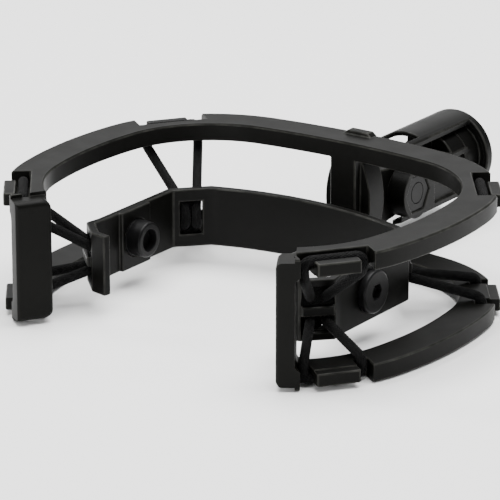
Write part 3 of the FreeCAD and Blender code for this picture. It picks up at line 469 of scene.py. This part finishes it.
def loop_line(place, stations):
    """Centre line of a cord: a closed spline with the route's points as its control points, which rounds
    each corner between them, read at even steps of its length."""
    below = [quarter_route(*place, turn, cord_seat, notch_exit) for turn in (1, -1)]
    above = [quarter_route(*place, turn, frame_height - cord_seat, frame_height - notch_exit)
             for turn in (1, -1)]
    route = np.array(below[0] + above[0][::-1] + above[1] + below[1][::-1])
    curve = bpy.data.curves.new("cord_route", "CURVE")
    curve.dimensions = "3D"
    curve.resolution_u = 24
    spline = curve.splines.new("NURBS")
    spline.points.add(len(route) - 1)
    spline.points.foreach_set("co", np.column_stack([route, np.ones(len(route))]).ravel())
    spline.order_u = 3
    spline.use_cyclic_u = True
    carrier = bpy.data.objects.new("cord_route", curve)
    read = bpy.data.meshes.new_from_object(carrier)
    line = np.empty(len(read.vertices) * 3)
    read.vertices.foreach_get("co", line)
    bpy.data.meshes.remove(read)
    bpy.data.objects.remove(carrier)
    bpy.data.curves.remove(curve)
    line = line.reshape(-1, 3)
    line = np.vstack([line, line[:1]])
    travelled = np.concatenate([[0.0], np.cumsum(np.linalg.norm(np.diff(line, axis=0), axis=1))])
    steps = np.linspace(0.0, travelled[-1], stations, endpoint=False)
    return np.column_stack([np.interp(steps, travelled, line[:, axis]) for axis in range(3)])


def braided_loop(name, centre_line, radius):
    """Tube round a closed line. The side direction is the cross product of the line's heading with
    the line from the loop's middle, and the radius swells over each crossing of two yarn families:
    sin(pi a) and sin(pi b), where a and b count yarns round the tube plus and minus along it."""
    stations = len(centre_line)
    heading = np.roll(centre_line, -1, axis=0) - np.roll(centre_line, 1, axis=0)
    step = np.linalg.norm(heading, axis=1)
    length = step.sum() / 2
    heading /= step[:, None]
    outward = centre_line - centre_line.mean(axis=0)
    side = np.cross(heading, outward)
    side /= np.linalg.norm(side, axis=1)[:, None]
    other = np.cross(heading, side)
    repeats = 2 * round(length / yarn_pitch / 2)
    run = np.arange(stations)[:, None] / stations * repeats
    around = np.arange(yarns_round * points_per_yarn)[None, :] / points_per_yarn
    first, second = around + run, around - run
    ridge_a, ridge_b = np.abs(np.sin(np.pi * first)), np.abs(np.sin(np.pi * second))
    over = (np.floor(first) + np.floor(second)) % 2
    swell = np.where(over > 0.5, ridge_a ** yarn_crown * ridge_b ** yarn_flank,
                     ridge_a ** yarn_flank * ridge_b ** yarn_crown)
    reach = radius - yarn_height * yarn_sunk + yarn_height * swell
    turn = 2 * np.pi * around / yarns_round
    points = centre_line[:, None, :] + reach[..., None] * (
        np.cos(turn)[..., None] * side[:, None, :] + np.sin(turn)[..., None] * other[:, None, :])
    count = around.shape[1]
    i = np.arange(stations)[:, None]
    j = np.arange(count)[None, :]
    corner = i * count + j
    beyond = ((i + 1) % stations) * count + j
    faces = np.stack([corner, beyond, ((i + 1) % stations) * count + (j + 1) % count,
                      i * count + (j + 1) % count], axis=-1)
    piece = put_in_mesh(name, points, faces)
    piece.data.shade_smooth()
    corners_u = np.stack([i + 0 * j, i + 1 + 0 * j, i + 1 + 0 * j, i + 0 * j], axis=-1) / stations * repeats
    corners_v = np.stack([j + 0 * i, j + 0 * i, j + 1 + 0 * i, j + 1 + 0 * i], axis=-1) / points_per_yarn
    wound = piece.data.uv_layers.new(name="yarns")
    flat = np.stack([corners_v + corners_u, corners_v - corners_u], axis=-1)
    wound.data.foreach_set("uv", flat.astype(np.float32).ravel())
    return piece


def black_braid():
    """Dyed polyester yarn: a slight change of tone from yarn to yarn, fine filaments and a soft sheen."""
    braid = bpy.data.materials.new("black_braid")
    braid.use_nodes = True
    tree = braid.node_tree
    make, join = tree.nodes.new, tree.links.new
    fibre = tree.nodes["Principled BSDF"]
    fibre.inputs["Roughness"].default_value = 0.62
    fibre.inputs["Specular IOR Level"].default_value = 0.06
    fibre.inputs["Sheen Weight"].default_value = 0.03
    fibre.inputs["Sheen Roughness"].default_value = 0.4
    winding = make("ShaderNodeUVMap")
    winding.uv_map = "yarns"
    whole = make("ShaderNodeVectorMath")
    whole.operation = "FLOOR"
    join(winding.outputs["UV"], whole.inputs[0])
    yarn = make("ShaderNodeTexWhiteNoise")
    yarn.noise_dimensions = "2D"
    join(whole.outputs["Vector"], yarn.inputs["Vector"])
    tone = two_tone(tree, yarn.outputs["Value"], (0.0010, 0.0010, 0.0011), (0.0060, 0.0060, 0.0060))
    join(tone.outputs[2], fibre.inputs["Base Color"])
    filament = make("ShaderNodeTexWave")
    filament.inputs["Scale"].default_value = 2.2
    filament.inputs["Distortion"].default_value = 1.4
    filament.inputs["Detail"].default_value = 2.0
    join(winding.outputs["UV"], filament.inputs["Vector"])
    raised(tree, filament.outputs["Fac"], strength=0.45, distance=0.00004)
    return braid


braid_material = black_braid()
for end_name, place in cord_places.items():
    anchor, _, clip, _ = place
    for side_name, mirror in (("right", 1.0), ("left", -1.0)):
        line = loop_line(place, cord_stations) * np.array([mirror, 1.0, 1.0])
        cord = braided_loop("braided_cord_%s_%s" % (end_name, side_name), line, cord_radius)
        if mirror < 0:
            cord.data.flip_normals()
        cord.data.materials.append(braid_material)
        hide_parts("suspension_cord_%s_%s" % (end_name, side_name))
        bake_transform(cord, "frame", "cradle_body", start=(mirror * anchor[0], anchor[1], clip_level),
                 end=(mirror * clip[0], clip[1], clip_level))


# Cradle: a second nylon moulding, an inner C band that holds the microphone and hangs in the cords by its
# four clips. Its mould is polished a little more than the frame's, so it is a shade smoother.
# The edge colour is the painted highlight on the cradle's rolled edges.
cradle_nylon = moulded_nylon("cradle_nylon", shadow=(0.0013, 0.0013, 0.0012), light=(0.0036, 0.0036, 0.0031),
                             dull=0.38, grain=0.12, edge=(0.022, 0.022, 0.020))
cradle_moulding = eased_copy("cradle", "cradle_moulding", "cradle_body", moulded_easing)
cradle_moulding.data.materials.append(cradle_nylon)


# Side bolts and noses: turned steel with a black oxide finish, which keeps the faint rings of the
# cutting tool on every flat face.
def oxide_steel(name, axis_place, dull, shadow, light):
    """Black oxide on turned steel: rings about the part's own axis in the relief, cloudy gloss. The axis
    runs along x, and its place is a y and a z."""
    steel = bpy.data.materials.new(name)
    steel.use_nodes = True
    tree = steel.node_tree
    make, join = tree.nodes.new, tree.links.new
    skin = tree.nodes["Principled BSDF"]
    skin.inputs["Metallic"].default_value = 0.2
    skin.inputs["Specular IOR Level"].default_value = 0.12
    place = make("ShaderNodeTexCoord")
    centred = make("ShaderNodeMapping")
    centred.inputs["Location"].default_value = (0.0, -axis_place[0], -axis_place[1])
    join(place.outputs["Object"], centred.inputs["Vector"])
    rings = make("ShaderNodeTexWave")
    rings.wave_type = "RINGS"
    rings.rings_direction = "X"
    rings.inputs["Scale"].default_value = 900.0
    rings.inputs["Distortion"].default_value = 0.4
    join(centred.outputs["Vector"], rings.inputs["Vector"])
    cloud = noise(tree, place, scale=420.0, detail=4.0)
    tone = two_tone(tree, cloud.outputs["Fac"], (shadow, shadow, shadow * 1.05),
                    (light, light, light * 1.03))
    join(tone.outputs[2], skin.inputs["Base Color"])
    gloss = ranged(tree, cloud.outputs["Fac"], low=dull - 0.06, high=dull + 0.08)
    join(gloss.outputs["Result"], skin.inputs["Roughness"])
    raised(tree, rings.outputs["Fac"], strength=0.12, distance=0.00002)
    return steel


turned_easing = 0.0002
side_axis = (-0.0301072, 0.0133)
side_steel = oxide_steel("side_bolt_steel", side_axis, dull=0.34, shadow=0.0030, light=0.0095)
for side_name in ("left", "right"):
    for kind in ("bolt", "nose"):
        turned = eased_copy("%s_side_%s" % (side_name, kind), "%s_turned_%s" % (side_name, kind),
                            "%s_%s_body" % (side_name, kind), turned_easing)
        turned.data.materials.append(side_steel)


# Swivel arm: the third nylon moulding, with a slotted barrel for the stand. Its coarser grain hides
# the marks that a stand leaves on it.
# The edge colour is the painted highlight on the arm's rolled edges.
arm_nylon = moulded_nylon("arm_nylon", shadow=(0.0013, 0.0013, 0.0012), light=(0.0036, 0.0036, 0.0032),
                          dull=0.34, grain=0.18, edge=(0.020, 0.020, 0.018))
arm_moulding = eased_copy("swivel_arm", "arm_moulding", "swivel", moulded_easing)
arm_moulding.data.materials.append(arm_nylon)

# Stand thread: the ridge that is moulded inside the barrel's boss, 27 turns to the inch, which takes
# the stud of a microphone stand.
thread_axis = 0.0175
thread_root = 0.00806
thread_crest = 0.00745
thread_pitch = 0.0254 / 27
thread_from, thread_to = 0.0636, 0.0735
steps_per_turn = 80
fading_turns = 0.5
start_height = 0.02
start_width = 0.3
foot_half = 0.47
crest_half = 0.07


def thread_ridge():
    """Helix: a trapezoid of the root and crest radii, turned about the barrel's axis while it advances
    by one pitch a turn. Its height grows from nothing over the first and last half turn."""
    turns = (thread_to - thread_from) / thread_pitch
    swept = np.linspace(0.0, turns, int(turns * steps_per_turn))[:, None]
    full = np.clip(np.minimum(swept, turns - swept) / fading_turns, start_height, 1.0)
    radius = thread_root - (thread_root - thread_crest) * full * np.array([[0.0, 1.0, 1.0, 0.0]])
    section = np.array([[-foot_half, -crest_half, crest_half, foot_half]])
    offset = thread_pitch * section * (start_width + (1 - start_width) * full)
    angle = 2 * np.pi * swept
    points = np.stack([radius * np.cos(angle), thread_from + thread_pitch * swept + offset,
                       thread_axis + radius * np.sin(angle)], axis=-1)
    rows = np.arange(len(swept) - 1)[:, None]
    edge = np.arange(4)[None, :]
    start, beside = rows * 4 + edge, rows * 4 + (edge + 1) % 4
    ridge = put_in_mesh("stand_thread", points, np.stack([start, beside, beside + 4, start + 4], axis=-1))
    closed = bmesh.new()
    closed.from_mesh(ridge.data)
    bmesh.ops.holes_fill(closed, edges=[edge for edge in closed.edges if edge.is_boundary], sides=4)
    bmesh.ops.recalc_face_normals(closed, faces=closed.faces)
    closed.to_mesh(ridge.data)
    closed.free()
    return ridge


stand_thread = thread_ridge()
stand_thread.data.materials.append(arm_nylon)
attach(stand_thread, "swivel")


# Hinge bolt and nut: black oxide steel that clamps the two ears of the arm on the frame's tongue. Its colour
# is painted about three times darker than the side bolts' steel, as painted shade over the bolt and the nut
# in its recess.
hinge_axis = (0.0416028, 0.015)
shaded_hinge_steel = oxide_steel("shaded_hinge_steel", hinge_axis, dull=0.40, shadow=0.0010, light=0.0030)
for kind in ("bolt", "nut"):
    fastener = eased_copy("hinge_" + kind, "clamping_" + kind, "swivel", turned_easing)
    fastener.data.materials.append(shaded_hinge_steel)
